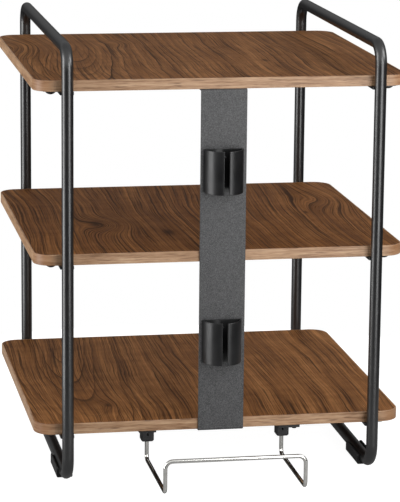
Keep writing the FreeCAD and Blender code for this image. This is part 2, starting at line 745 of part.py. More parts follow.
# Cradle socket: moulded flange with a bored block below it. Cross slots let the block grip the leg.
def make_socket(label, x, angle):
    body = new_body(label, x=x, y="leg_row_y", z="bottom_under", angle=angle)
    flange = new_sketch(body, label + "_flange", "XY_Plane")
    draw_box(flange, "-socket_half_block", "socket_tail", "-socket_half_width", "socket_half_width")
    flange_pad = pad(body, flange, "socket_flange", reverse=True)
    dress(body, "Fillet", flange_pad, "socket_corner_round", upright)
    block = new_sketch(body, label + "_block", "XY_Plane", lift="-socket_flange")
    draw_box(block, "-socket_half_block", "socket_half_block", "-socket_half_block", "socket_half_block")
    block_pad = pad(body, block, "socket_block_depth", reverse=True)

    def block_corner(edge):
        corner = near(abs(edge.firstVertex().X), size("socket_half_block"))
        return upright(edge) and corner and near(abs(edge.firstVertex().Y), size("socket_half_block"))

    def block_end(edge):
        return lies_at(edge, 2, -size("socket_height"))

    rounded = dress(body, "Fillet", block_pad, "socket_block_round", block_corner)
    dress(body, "Chamfer", rounded, "socket_chamfer", block_end)
    bore = new_sketch(body, label + "_bore", "XY_Plane", lift="-socket_height")
    draw_circles(bore, [("origin", "origin")], "socket_bore")
    pocket(body, bore, "socket_bore_depth", reverse=True)
    for role in ("XZ_Plane", "YZ_Plane"):
        slot = new_sketch(body, label + "_slot_" + role[:2].lower(), role)
        draw_box(slot, "-socket_half_slot", "socket_half_slot", "-socket_slot_low", "-socket_flange")
        pocket(body, slot)
    holes = new_sketch(body, label + "_holes", "XY_Plane")
    spots = [("socket_screw_along", "-socket_screw_across"), ("socket_screw_along", "socket_screw_across")]
    draw_circles(holes, spots, "pan_hole_diameter")
    pocket(body, holes)
    return body


# Bent wire line: straight runs between corners, with a tangent arc at each inner corner.
def bent_line(corners, radii):
    edges = []
    start = corners[0]
    for before, corner, after, radius in zip(corners, corners[1:], corners[2:], radii):
        back = (before - corner).normalize()
        ahead = (after - corner).normalize()
        half_turn = back.getAngle(ahead) / 2
        reach = radius / math.tan(half_turn)
        inward = (back + ahead).normalize()
        first = corner + back * reach
        last = corner + ahead * reach
        middle = corner + inward * (radius / math.sin(half_turn) - radius)
        edges.append(Part.LineSegment(start, first).toShape())
        edges.append(Part.Arc(first, middle, last).toShape())
        start = last
    edges.append(Part.LineSegment(start, corners[-1]).toShape())
    return Part.Wire(edges)


# Wire cradle: one steel wire. Two legs hang from the sockets, run forwards and rise to a front bar.
def make_cradle(label):
    def spot(x, y, z):
        return FreeCAD.Vector(size(x), size(y), size(z))

    left = [
        spot("cradle_left_x", "leg_row_y", "leg_top_z"),
        spot("cradle_left_x", "leg_row_y", "cradle_run_z"),
        spot("cradle_left_x", "cradle_bar_y", "cradle_run_z"),
        spot("cradle_left_x", "cradle_bar_y", "cradle_bar_z"),
    ]
    right = [FreeCAD.Vector(size("cradle_right_x"), corner.y, corner.z) for corner in reversed(left)]
    lower = size("cradle_lower_bend")
    upper = size("cradle_upper_bend")
    path = doc.addObject("Part::Feature", label + "_line")
    path.Shape = bent_line(left + right, [lower, lower, upper, upper, lower, lower])
    ring = doc.addObject("Part::Circle", label + "_section")
    bind(ring, "Radius", "wire_radius")
    place(ring, "cradle_left_x", "leg_row_y", "leg_top_z")
    sweep = doc.addObject("Part::Sweep", label)
    sweep.Label = label
    sweep.Sections = [ring]
    sweep.Spine = (path, ["Edge%d" % number for number in range(1, len(path.Shape.Edges) + 1)])
    sweep.Solid = True
    doc.recompute()
    section_area = math.pi * size("wire_radius") ** 2
    line_volume = section_area * path.Shape.Length
    print("cradle volume", round(sweep.Shape.Volume), "from its line", round(line_volume))
    return sweep


# Foot glide: moulded channel that snaps on to the floor bar from below, with flared lips.
def make_foot(label, x, y):
    body = new_body(label, x=x, y=y)
    profile = new_sketch(body, label + "_profile", "XZ_Plane")
    centre = point("origin", "bottom_bar_z")
    seat_radius = size("foot_seat_radius")
    snap_angle = math.asin(size("foot_snap_rise") / seat_radius)
    seat = arc(profile, centre, seat_radius, math.pi - snap_angle, 2 * math.pi + snap_angle)
    corners = [
        ("foot_snap_x", "foot_snap_z"),
        ("foot_flare_x", "foot_wall_top"),
        ("foot_half_width", "foot_wall_top"),
        ("foot_half_width", "origin"),
        ("-foot_half_width", "origin"),
        ("-foot_half_width", "foot_wall_top"),
        ("-foot_flare_x", "foot_wall_top"),
        ("-foot_snap_x", "foot_snap_z"),
    ]
    sides = [line(profile, point(*corners[i]), point(*corners[i + 1])) for i in range(len(corners) - 1)]
    for first, second in zip(sides, sides[1:]):
        tie(profile, "Coincident", first, 2, second, 1)
    for side, corner in list(zip(sides, corners))[1:]:
        pin(profile, side, 1, *corner)
    tie(profile, "Coincident", seat, 2, sides[0], 1)
    tie(profile, "Coincident", seat, 1, sides[-1], 2)
    pin(profile, seat, 3, "origin", "bottom_bar_z")
    hold(profile, "Radius", seat, name="foot_seat_radius")
    pin(profile, sides[0], 1, y="foot_snap_z")
    pin(profile, sides[-1], 2, y="foot_snap_z")
    channel = pad(body, profile, "foot_length", both_ways=True)
    half_length = size("foot_length") / 2

    def base_edge(edge):
        return runs_along(edge, 1) and lies_at(edge, 2, 0)

    def wall_end(edge):
        at_end = near(abs(edge.firstVertex().Y), half_length) and runs_along(edge, 0)
        return at_end and lies_at(edge, 2, size("foot_wall_top"))

    based = dress(body, "Fillet", channel, "foot_base_round", base_edge)
    dress(body, "Fillet", based, "foot_end_round", wall_end)
    return body


shelf_screw_spots = [
    (side + "shelf_screw_x", row + "shelf_screw_y")
    for side in ("-", "")
    for row in ("-", "")
]
spine_pilots = [("-spine_screw_x", "spine_screw_y"), ("spine_screw_x", "spine_screw_y")]
socket_pilots = [
    ("left_socket_screw_left", "left_socket_screw_y"),
    ("left_socket_screw_right", "left_socket_screw_y"),
    ("right_socket_screw_x", "right_socket_screw_front"),
    ("right_socket_screw_x", "right_socket_screw_rear"),
]
clip_screw_levels = [
    "upper_clip_screw_low",
    "upper_clip_screw_high",
    "lower_clip_screw_low",
    "lower_clip_screw_high",
]
pilots_by_shelf = {
    "bottom": spine_pilots + socket_pilots,
    "middle": [],
    "top": spine_pilots,
}

parts = []
for side, sign in (("left", "-"), ("right", "")):
    parts.append(make_loop(side + "_frame_tube", sign + "loop_x"))
for shelf, pilots in pilots_by_shelf.items():
    parts.append(make_board(shelf + "_shelf_board", shelf + "_under", pilots))
    parts.append(make_edge_band(shelf + "_shelf_edge_band", shelf + "_under"))
    parts.append(make_rail("left_%s_rail" % shelf, "-loop_x", shelf + "_under", 180))
    parts.append(make_rail("right_%s_rail" % shelf, "loop_x", shelf + "_under", 0))

insert_spots = [
    (side + "shelf_screw_x", row, shelf + "_under")
    for shelf in pilots_by_shelf
    for side in ("-", "")
    for row in ("front_screw_row", "rear_screw_row")
]
screw_spots = [(x, y, z.replace("_under", "_screw_z")) for x, y, z in insert_spots]
parts.append(copies("shelf_screws", make_shelf_screw("shelf_screw"), screw_spots))
parts.append(copies("shelf_inserts", make_insert("shelf_insert"), insert_spots))

parts.append(make_spine("spine_plate"))
spine_spots = [
    (side + "spine_screw_x", "spine_screw_row_y", level)
    for level in ("spine_bottom", "spine_top_inside")
    for side in ("-", "")
]
parts.append(copies("spine_screws", make_pan_screw("spine_screw", "spine_screw_length"), spine_spots))

parts.append(make_clip("upper_cable_clip", "upper_clip_z"))
parts.append(make_clip("lower_cable_clip", "lower_clip_z"))
clip_spots = [("origin", "clip_screw_y", level) for level in clip_screw_levels]
clip_screw = make_pan_screw("clip_screw", "clip_screw_length")
parts.append(copies("clip_screws", clip_screw, clip_spots, axis=(1, 0, 0), angle=-90))

parts.append(make_socket("left_cradle_socket", "cradle_left_x", 90))
parts.append(make_socket("right_cradle_socket", "cradle_right_x", 0))
socket_spots = [
    ("left_socket_screw_left", "left_socket_row_y", "socket_screw_z"),
    ("left_socket_screw_right", "left_socket_row_y", "socket_screw_z"),
    ("right_socket_screw_x", "right_socket_row_front", "socket_screw_z"),
    ("right_socket_screw_x", "right_socket_row_rear", "socket_screw_z"),
]
socket_screw = make_pan_screw("socket_screw", "socket_screw_length")
parts.append(copies("socket_screws", socket_screw, socket_spots))
parts.append(make_cradle("wire_cradle"))

for end in ("front", "rear"):
    for side, sign in (("left", "-"), ("right", "")):
        parts.append(make_foot("%s_%s_foot" % (end, side), sign + "loop_x", end + "_foot_y"))

doc.recompute()

# Every feature has to be sound, and every cut has to take material away, before anything is written
for feature in doc.Objects:
    if "Invalid" in feature.State or "Error" in feature.State:
        raise RuntimeError("%s failed: %s" % (feature.Label, feature.State))
    if feature.TypeId == "PartDesign::Pocket":
        if not feature.Shape.Volume < feature.BaseFeature.Shape.Volume:
            raise RuntimeError("%s cuts nothing" % feature.Label)
for part in parts:
    if part.Shape.isNull() or not part.Shape.isValid():
        raise RuntimeError("%s has no valid shape" % part.Label)

os.makedirs("parts", exist_ok=True)
for part in parts:
    part.Shape.exportStep("parts/%s.step" % part.Label)
    print(part.Label, len(part.Shape.Solids), "solids", round(part.Shape.Volume), "mm3")
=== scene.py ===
import math

import bpy
from mathutils import Matrix, Vector


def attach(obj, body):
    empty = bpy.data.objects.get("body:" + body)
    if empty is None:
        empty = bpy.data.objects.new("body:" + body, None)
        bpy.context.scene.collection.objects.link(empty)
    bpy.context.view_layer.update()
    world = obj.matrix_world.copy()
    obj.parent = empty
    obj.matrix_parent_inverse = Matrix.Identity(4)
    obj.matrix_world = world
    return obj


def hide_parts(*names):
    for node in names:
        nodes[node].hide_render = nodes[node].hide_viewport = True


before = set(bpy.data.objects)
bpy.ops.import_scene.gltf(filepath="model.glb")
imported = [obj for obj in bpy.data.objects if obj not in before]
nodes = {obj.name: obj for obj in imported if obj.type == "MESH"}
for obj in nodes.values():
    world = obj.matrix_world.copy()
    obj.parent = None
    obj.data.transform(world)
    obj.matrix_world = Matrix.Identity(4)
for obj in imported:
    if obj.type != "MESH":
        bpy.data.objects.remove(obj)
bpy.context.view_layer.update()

scene = bpy.context.scene
bpy.ops.object.select_all(action="DESELECT")
print("rack loaded:", len(nodes), "pieces")

floatKind, colorKind, vectorKind = "NodeSocketFloat", "NodeSocketColor", "NodeSocketVector"
white = (1.0, 1.0, 1.0, 1.0)
noiseRange = (0.3, 0.7)


# small helpers for shader trees
def feed(tree, socket, value):
    if isinstance(value, bpy.types.NodeSocket):
        tree.links.new(value, socket)
    else:
        socket.default_value = value


def calc(tree, operation, *values, clamp=False):
    node = tree.nodes.new("ShaderNodeMath")
    node.operation = operation
    node.use_clamp = clamp
    for socket, value in zip(node.inputs, values):
        feed(tree, socket, value)
    return node.outputs[0]


def total(tree, first, *others):
    for value in others:
        first = calc(tree, "ADD", first, value)
    return first


def product(tree, first, *others):
    for value in others:
        first = calc(tree, "MULTIPLY", first, value)
    return first


def span(tree, value, low, high, toLow=0.0, toHigh=1.0, smooth=False):
    node = tree.nodes.new("ShaderNodeMapRange")
    if smooth:
        node.interpolation_type = "SMOOTHSTEP"
    sockets = ("Value", "From Min", "From Max", "To Min", "To Max")
    for name, number in zip(sockets, (value, low, high, toLow, toHigh)):
        feed(tree, node.inputs[name], number)
    return node.outputs["Result"]


def split(tree, vector):
    node = tree.nodes.new("ShaderNodeSeparateXYZ")
    feed(tree, node.inputs[0], vector)
    return node.outputs


def triple(tree, x, y, z):
    node = tree.nodes.new("ShaderNodeCombineXYZ")
    for socket, value in zip(node.inputs, (x, y, z)):
        feed(tree, socket, value)
    return node.outputs[0]


def noise(tree, vector, scale, detail=2.0, rough=0.5):
    node = tree.nodes.new("ShaderNodeTexNoise")
    sockets = ("Vector", "Scale", "Detail", "Roughness")
    for name, value in zip(sockets, (vector, scale, detail, rough)):
        feed(tree, node.inputs[name], value)
    return node.outputs["Fac"]


def blend(tree, amount, first, second):
    node = tree.nodes.new("ShaderNodeMix")
    node.data_type = "RGBA"
    feed(tree, node.inputs[0], amount)
    feed(tree, node.inputs[6], first)
    feed(tree, node.inputs[7], second)
    return node.outputs[2]


def threeTones(tree, tone, dark, mid, light):
    low = blend(tree, span(tree, tone, 0.0, 0.5), dark, mid)
    return blend(tree, span(tree, tone, 0.5, 1.0), low, light)


def bump(tree, height, distance, strength):
    node = tree.nodes.new("ShaderNodeBump")
    feed(tree, node.inputs["Strength"], strength)
    feed(tree, node.inputs["Distance"], distance)
    feed(tree, node.inputs["Height"], height)
    return node.outputs["Normal"]


def paint(red, green, blue):
    # screen colour in 0 to 255, as a linear colour
    def line(value):
        value /= 255.0
        return value / 12.92 if value <= 0.04045 else ((value + 0.055) / 1.055) ** 2.4
    return (line(red), line(green), line(blue), 1.0)


def mottle(tree, mask, limits, first, second):
    return blend(tree, span(tree, mask, *limits), paint(*first), paint(*second))


def seenDirectly(tree):
    path = tree.nodes.new("ShaderNodeLightPath").outputs
    return calc(tree, "MAXIMUM", path["Is Camera Ray"], path["Is Transmission Ray"]), path["Is Glossy Ray"]


def newGroup(name, inputs, outputs):
    tree = bpy.data.node_groups.new(name, "ShaderNodeTree")
    for way, sockets in (("INPUT", inputs), ("OUTPUT", outputs)):
        for kind, labels in sockets.items():
            for label in labels:
                tree.interface.new_socket(label, in_out=way, socket_type=kind)
    return tree, tree.nodes.new("NodeGroupInput").outputs, tree.nodes.new("NodeGroupOutput").inputs


def place(tree, group, **values):
    node = tree.nodes.new("ShaderNodeGroup")
    node.node_tree = group
    for name, value in values.items():
        feed(tree, node.inputs[name], value)
    return node.outputs


def newMaterial(name):
    material = bpy.data.materials.new(name)
    material.use_nodes = True
    tree = material.node_tree
    shader = tree.nodes["Principled BSDF"]
    coords = tree.nodes.new("ShaderNodeTexCoord").outputs["Object"]
    return material, tree, shader, coords


def cover(tree, shader, color, rough, normal=None):
    feed(tree, shader.inputs["Base Color"], color)
    feed(tree, shader.inputs["Roughness"], rough)
    if normal is not None:
        feed(tree, shader.inputs["Normal"], normal)


def dress(material, *names):
    for name in names:
        mesh = nodes[name].data
        mesh.materials.clear()
        mesh.materials.append(material)


# a soft hill over an eye or a knot in the wood; Push is its height
def makeGrainEye():
    inputs = {vectorKind: ["Vector"], floatKind: ["X", "Y", "Wide", "Long", "Push"]}
    tree, given, result = newGroup("grainEye", inputs, {floatKind: ["Shift"]})
    x, y = split(tree, given["Vector"])[:2]
    across = calc(tree, "DIVIDE", calc(tree, "SUBTRACT", x, given["X"]), given["Wide"])
    along = calc(tree, "DIVIDE", calc(tree, "SUBTRACT", y, given["Y"]), given["Long"])
    square = total(tree, product(tree, across, across), product(tree, along, along))
    hill = calc(tree, "EXPONENT", product(tree, square, -1.0))
    feed(tree, result["Shift"], product(tree, hill, given["Push"]))
    return tree


# noises of the walnut: per metre across and along the grain, step from the seed, detail, roughness
walnutNoise = {
    "sway": (3.0, 2.4, 0.0, 1.0, 0.5),
    "wiggle": (26.0, 8.0, 4.0, 2.0, 0.5),
    "jitter": (90.0, 28.0, 6.0, 2.0, 0.5),
    "spacing": (24.0, 0.3, 7.0, 1.0, 0.5),
    "patch": (12.0, 5.0, 11.0, 2.0, 0.5),
    "bands": (34.0, 2.4, 15.0, 2.0, 0.5),
    "streak": (240.0, 2.4, 23.0, 2.0, 0.75),
    "fibre": (560.0, 4.0, 19.0, 2.0, 0.6),
    "curl": (26.0, 42.0, 27.0, 2.0, 0.5),
    "fineHair": (620.0, 5.0, 35.0, 1.0, 0.5),
    "longHair": (330.0, 3.0, 39.0, 1.0, 0.5),
    "pores": (1500.0, 34.0, 31.0, 1.0, 0.5),
}
# what each is worth: sideways in metres, spacing in rings, tone, and darkness of marks
walnutShare = {
    "sway": 0.05, "wiggle": 0.008, "jitter": 0.0016, "spacing": 3.2,
    "bands": 0.7, "streak": 0.55, "fibre": 1.3, "curl": 0.4,
    "knots": 0.8, "hairs": 0.78, "pores": 0.3,
}
walnutMarks = {"fineHair": (0.08, 0.20), "longHair": (0.10, 0.20), "pores": (0.12, 0.24)}
walnutSkin = {
    "rough": (-0.2, 0.7, 0.56, 0.74), "fibreHeight": 0.8, "lineDepth": 0.4, "relief": (0.00012, 0.6), "shine": 0.08,
}
# growth lines: widths in shares of a ring, darkness from 0 to 1
growthLine = {
    "sharp": 0.2, "soft": 0.95, "softPower": 2.0, "softDark": 0.45, "rise": 0.03, "least": 0.45,
    "patch": (-0.14, 0.04, 0.6, 1.0), "betweenRate": 2.0, "between": 0.3, "betweenDark": 0.42,
}


# flat sawn walnut with the grain along Y: growth lines arched about a heart line, tone bands, fibres and pores
def makeWalnut():
    tree, given, result = newGroup("walnutFigure", {
        vectorKind: ["Vector"],
        floatKind: ["Seed", "Shift", "Knot", "Strength", "Ring", "HeartX", "HeartY", "Depth", "Taper"],
        colorKind: ["Dark", "Mid", "Light", "Line"],
    }, {colorKind: ["Color"], floatKind: ["Roughness", "Height"]})
    x, y = split(tree, given["Vector"])[:2]
    seed = given["Seed"]

    # noise stretched along the grain, about zero
    def sample(name, sideways):
        wide, long, step, detail, rough = walnutNoise[name]
        spot = triple(tree, product(tree, sideways, wide), product(tree, y, long), total(tree, seed, step))
        return calc(tree, "SUBTRACT", noise(tree, spot, 1.0, detail, rough), 0.5)

    def share(name, sideways):
        return product(tree, sample(name, sideways), walnutShare[name])

    def marks(name):
        return span(tree, sample(name, grain), *walnutMarks[name])

    grain = total(tree, x, given["Shift"], share("sway", x), share("wiggle", x), share("jitter", x))

    # distance from the tree's heart, which lies deeper towards one end
    side = calc(tree, "SUBTRACT", grain, given["HeartX"])
    climb = product(tree, calc(tree, "SUBTRACT", y, given["HeartY"]), given["Taper"])
    deep = calc(tree, "SUBTRACT", given["Depth"], climb)
    across = calc(tree, "SQRT", total(tree, product(tree, side, side), product(tree, deep, deep)))

    # growth lines: a sharp dark edge that fades to one side, no two alike, with fainter ones between
    phase = total(tree, calc(tree, "DIVIDE", across, given["Ring"]), share("spacing", across))
    saw = calc(tree, "FRACT", phase)
    ring = tree.nodes.new("ShaderNodeTexWhiteNoise")
    ring.noise_dimensions = "1D"
    feed(tree, ring.inputs["W"], total(tree, calc(tree, "FLOOR", phase), seed))
    sharp = span(tree, saw, 0.0, growthLine["sharp"], 1.0, 0.0)
    fade = span(tree, saw, 0.0, growthLine["soft"], 1.0, 0.0)
    soft = product(tree, calc(tree, "POWER", fade, growthLine["softPower"]), growthLine["softDark"])
    rise = span(tree, saw, 0.0, growthLine["rise"])
    patchy = span(tree, sample("patch", grain), *growthLine["patch"])
    uneven = total(tree, ring.outputs["Value"], growthLine["least"])
    strongest = calc(tree, "MAXIMUM", sharp, soft)
    line = calc(tree, "MULTIPLY", strongest, product(tree, rise, uneven, patchy), clamp=True)
    between = calc(tree, "FRACT", product(tree, phase, growthLine["betweenRate"]))
    between = span(tree, between, 0.0, growthLine["between"], growthLine["betweenDark"], 0.0)
    line = product(tree, calc(tree, "MAXIMUM", line, product(tree, between, patchy)), given["Strength"])

    # tone: broad bands with the growth lines, streaks and fibres with the grain, and a slight curl across both
    fibre = sample("fibre", grain)
    tone = total(
        tree, share("bands", across), share("streak", grain), product(tree, fibre, walnutShare["fibre"]),
        share("curl", x), 0.5)
    color = threeTones(tree, tone, given["Dark"], given["Mid"], given["Light"])
    knots = calc(tree, "MULTIPLY", given["Knot"], walnutShare["knots"], clamp=True)
    hairs = calc(tree, "MAXIMUM", marks("fineHair"), marks("longHair"))
    pores = marks("pores")
    hairShade, poreShade = product(tree, hairs, walnutShare["hairs"]), product(tree, pores, walnutShare["pores"])
    for amount in (line, knots, hairShade, poreShade):
        color = blend(tree, amount, color, given["Line"])
    height = calc(tree, "SUBTRACT", product(tree, fibre, walnutSkin["fibreHeight"]), pores)
    height = calc(tree, "SUBTRACT", height, product(tree, line, walnutSkin["lineDepth"]))
    feed(tree, result["Color"], color)
    feed(tree, result["Roughness"], span(tree, total(tree, fibre, pores), *walnutSkin["rough"]))
    feed(tree, result["Height"], height)
    return tree


# powder coat: pebbled skin and small paler grains
powder = {"detail": 3.0, "uneven": 0.65, "cloud": 60.0, "fleck": (0.38, 0.68), "pebbleRough": 0.08, "cloudRough": 0.05}


def makePowder():
    inputs = {vectorKind: ["Vector"], floatKind: ["Grain"], colorKind: ["Base", "Fleck"]}
    outputs = {colorKind: ["Color"], floatKind: ["Roughness", "Height"]}
    tree, given, result = newGroup("powderSkin", inputs, outputs)
    pebble = noise(tree, given["Vector"], given["Grain"], powder["detail"], powder["uneven"])
    cloud = noise(tree, given["Vector"], powder["cloud"])
    pebbleRough = span(tree, pebble, *noiseRange, 0.0, powder["pebbleRough"])
    cloudRough = span(tree, cloud, *noiseRange, 0.0, powder["cloudRough"])
    feed(tree, result["Color"], blend(tree, span(tree, pebble, *powder["fleck"]), given["Base"], given["Fleck"]))
    feed(tree, result["Roughness"], total(tree, pebbleRough, cloudRough))
    feed(tree, result["Height"], pebble)
    return tree


grainEye = makeGrainEye()
walnutFigure = makeWalnut()
powderSkin = makePowder()
print("shader groups ready")

# one walnut sheet per shelf, from the shelf's middle: heart as (x, y, depth, taper), eyes as (x, y, wide, long, push),
# knots as (x, y, wide, long); lines is the growth lines' strength, and they grow fainter over the faint span of x
# each sheet's tint is painted light and shade: the shelves share one veneer, and the tint makes a shelf lighter, darker
# or warmer to stand in for the light that reaches it, the bottom one lightest
shelfSheets = {
    "top_shelf_board": {
        "seed": 3.1, "ring": 0.0115, "paintedLightTint": (1.10, 1.05, 0.99), "lines": 1.0, "faint": (0.30, 0.40),
        "heart": (-0.19, -0.083, 0.04, 0.12),
        "eyes": [(-0.245, 0.12, 0.05, 0.12, -0.03), (-0.10, 0.125, 0.02, 0.03, -0.010)],
        "knots": [(0.096, -0.082, 0.004, 0.012)],
    },
    "middle_shelf_board": {
        "seed": 8.6, "ring": 0.0105, "paintedLightTint": (1.04, 0.94, 0.78), "lines": 1.0, "faint": (0.30, 0.40),
        "heart": (-0.50, 0.0, 0.05, 0.05),
        "eyes": [(-0.142, -0.05, 0.034, 0.05, -0.042), (0.235, 0.11, 0.04, 0.09, -0.03)],
        # the second knot here is painted shadow: a dark spot just left of the spine plate, where the plate's shadow
        # falls
        "knots": [(-0.157, -0.046, 0.010, 0.022), (-0.057, -0.117, 0.010, 0.024), (0.183, 0.005, 0.003, 0.010)],
    },
    "bottom_shelf_board": {
        "seed": 14.2, "ring": 0.013, "paintedLightTint": (1.25, 1.18, 1.04), "lines": 0.8, "faint": (-0.02, 0.12),
        "heart": (-0.182, -0.142, 0.05, 0.12),
        "eyes": [(-0.155, -0.163, 0.014, 0.03, -0.008)],
        "knots": [(-0.155, -0.163, 0.004, 0.010)],
    },
}
walnutTones = {"Dark": (78, 48, 26), "Mid": (124, 84, 50), "Light": (166, 120, 78), "Line": (30, 15, 6)}
faintLines = 0.45
shelfMiddle = 0.0675


def makeShelfMaterial(name, sheet):
    material, tree, shader, coords = newMaterial("walnut_" + name)

    def hill(x, y, wide, long, push=1.0):
        spot = place(tree, grainEye, Vector=coords, X=x, Y=y + shelfMiddle, Wide=wide, Long=long, Push=push)
        return spot["Shift"]

    shift, knot = 0.0, 0.0
    for eye in sheet["eyes"]:
        shift = calc(tree, "ADD", shift, hill(*eye))
    for spot in sheet["knots"]:
        knot = calc(tree, "MAXIMUM", knot, hill(*spot))
    tones = {}
    # every tone is scaled by the sheet's tint, which paints in that shelf's light and shade
    for label, tone in walnutTones.items():
        tones[label] = [value * part for value, part in zip(paint(*tone), sheet["paintedLightTint"])] + [1.0]
    x = split(tree, coords)[0]
    lines = sheet["lines"]
    strength = span(tree, x, *sheet["faint"], lines, lines * faintLines, smooth=True)
    heartX, heartY, depth, taper = sheet["heart"]
    wood = place(
        tree, walnutFigure, Vector=coords, Seed=sheet["seed"], Ring=sheet["ring"], Shift=shift, Knot=knot,
        Strength=strength, HeartX=heartX, HeartY=heartY + shelfMiddle, Depth=depth, Taper=taper, **tones)
    cover(tree, shader, wood["Color"], wood["Roughness"], bump(tree, wood["Height"], *walnutSkin["relief"]))
    shader.inputs["Specular IOR Level"].default_value = walnutSkin["shine"]
    return material


for boardName, boardSheet in shelfSheets.items():
    dress(makeShelfMaterial(boardName, boardSheet), boardName)
print("walnut sheets laid")

# edge band: thin pale strip, fine lines along its length; noises as (per metre along, per metre up, step, detail)
edgeBand = {
    "dark": (126, 91, 62), "mid": (170, 134, 102), "light": (198, 166, 134), "line": (94, 64, 42),
    # turned is the colour of painted shade at the band's corners, and the share after it is how strongly it is laid on
    "turned": (128, 84, 50), "cornerShadeShare": 0.55, "cornerX": (0.243, 0.262), "cornerY": (0.223, 0.242),
    "broad": (7.0, 260.0, 5.0, 2.0), "fine": (45.0, 1000.0, 9.0, 3.0), "cloud": (18.0, 30.0, 13.0, 2.0),
    "hair": (40.0, 700.0, 21.0, 1.0), "uneven": 0.6, "broadShare": 0.55, "fineShare": 0.62, "cloudShare": 0.30,
    "tone": (0.535, 0.965), "hairSpan": (0.58, 0.70), "hairShare": 0.65,
    "rough": (0.36, 0.50), "relief": (0.00008, 0.5), "shine": 0.4,
}


def makeEdgeBand():
    look = edgeBand
    material, tree, shader, coords = newMaterial("walnut_edge_band")
    x, y, z = split(tree, coords)

    def streaks(name):
        flat, tall, step, detail = look[name]
        height = total(tree, product(tree, z, tall), step)
        spot = triple(tree, product(tree, x, flat), product(tree, y, flat), height)
        return noise(tree, spot, 1.0, detail, look["uneven"])

    fine = streaks("fine")
    tone = total(
        tree, product(tree, streaks("broad"), look["broadShare"]), product(tree, fine, look["fineShare"]),
        product(tree, streaks("cloud"), look["cloudShare"]))
    tones = [paint(*look[name]) for name in ("dark", "mid", "light")]
    color = threeTones(tree, span(tree, tone, *look["tone"]), *tones)
    hair = span(tree, streaks("hair"), *look["hairSpan"])
    color = blend(tree, product(tree, hair, look["hairShare"]), color, paint(*look["line"]))
    # painted shade: darker and more orange where the band turns the corners, where less light falls
    cornerX = span(tree, calc(tree, "ABSOLUTE", x), *look["cornerX"])
    cornerY = span(tree, calc(tree, "ABSOLUTE", calc(tree, "SUBTRACT", y, shelfMiddle)), *look["cornerY"])
    color = blend(tree, product(tree, cornerX, cornerY, look["cornerShadeShare"]), color, paint(*look["turned"]))
    cover(tree, shader, color, span(tree, fine, *noiseRange, *look["rough"]), bump(tree, fine, *look["relief"]))
    shader.inputs["Specular IOR Level"].default_value = look["shine"]
    return material


dress(makeEdgeBand(), "top_shelf_edge_band", "middle_shelf_edge_band", "bottom_shelf_edge_band")
print("edge bands on")

# coated steel: loops and rails darker, spine greyer
coats = {
    "loop_coat": {"base": (10, 10, 11), "fleck": (26, 26, 27), "grain": 1100.0, "rough": 0.25, "shine": 1.0},
    "spine_coat": {"base": (48, 48, 49), "fleck": (96, 96, 97), "grain": 900.0, "rough": 0.38, "shine": 0.4},
}
coatRelief = (0.0002, 0.35)


def makeCoat(name):
    coat = coats[name]
    material, tree, shader, coords = newMaterial(name)
    base, fleck = paint(*coat["base"]), paint(*coat["fleck"])
    skin = place(tree, powderSkin, Vector=coords, Grain=coat["grain"], Base=base, Fleck=fleck)
    rough = total(tree, skin["Roughness"], coat["rough"])
    cover(tree, shader, skin["Color"], rough, bump(tree, skin["Height"], *coatRelief))
    shader.inputs["Specular IOR Level"].default_value = coat["shine"]
    return material


loopCoat = makeCoat("loop_coat")
dress(loopCoat, "left_frame_tube", "right_frame_tube")
for shelf in ("top", "middle", "bottom"):
    dress(loopCoat, "left_%s_rail" % shelf, "right_%s_rail" % shelf)
dress(makeCoat("spine_coat"), "spine_plate")
print("steel coated")

# moulded plastic: satin clips, matt sockets and foot glides
mouldings = {
    "clip_moulding": {
        "base": (15, 15, 16), "worn": (23, 23, 24), "rough": 0.28, "shine": 0.6, "grain": 2600.0, "depth": 0.00006,
    },
    "foot_moulding": {
        "base": (27, 27, 28), "worn": (40, 40, 41), "rough": 0.46, "shine": 0.4, "grain": 1900.0, "depth": 0.00012,
    },
}
mouldSkin = {"cloud": (45.0, 3.0, 0.55), "worn": (0.35, 0.7), "spread": 0.1, "relief": 0.5}


def makeMoulding(name):
    look = mouldings[name]
    material, tree, shader, coords = newMaterial(name)
    grain = noise(tree, coords, look["grain"])
    cloud = noise(tree, coords, *mouldSkin["cloud"])
    color = mottle(tree, cloud, mouldSkin["worn"], look["base"], look["worn"])
    rough = span(tree, cloud, *noiseRange, look["rough"], look["rough"] + mouldSkin["spread"])
    cover(tree, shader, color, rough, bump(tree, grain, look["depth"], mouldSkin["relief"]))
    shader.inputs["Specular IOR Level"].default_value = look["shine"]
    return material


footMoulding = makeMoulding("foot_moulding")
dress(makeMoulding("clip_moulding"), "upper_cable_clip", "lower_cable_clip")
dress(footMoulding, "left_cradle_socket", "right_cradle_socket")
dress(footMoulding, "front_left_foot", "front_right_foot", "rear_left_foot", "rear_right_foot")
print("mouldings done")

# bright metal: drawn wire, and zinc inserts
metals = {
    "drawn_wire": {
        "color": (240, 239, 235), "dull": (220, 219, 214), "rough": 0.12, "spread": 0.02, "grain": 700.0,
        # the wire's dark rim dims its reflections at grazing angles: painted shade for the dark surroundings its edges
        # reflect
        "rim": (0.15, 0.15, 0.15, 1.0),
    },
    "zinc": {
        "color": (190, 190, 186), "dull": (160, 160, 156), "rough": 0.28, "spread": 0.10, "grain": 400.0,
        "rim": (0.8, 0.8, 0.8, 1.0),
    },
}
metalSkin = {"cloud": (90.0, 3.0, 0.6), "dull": (0.35, 0.75)}


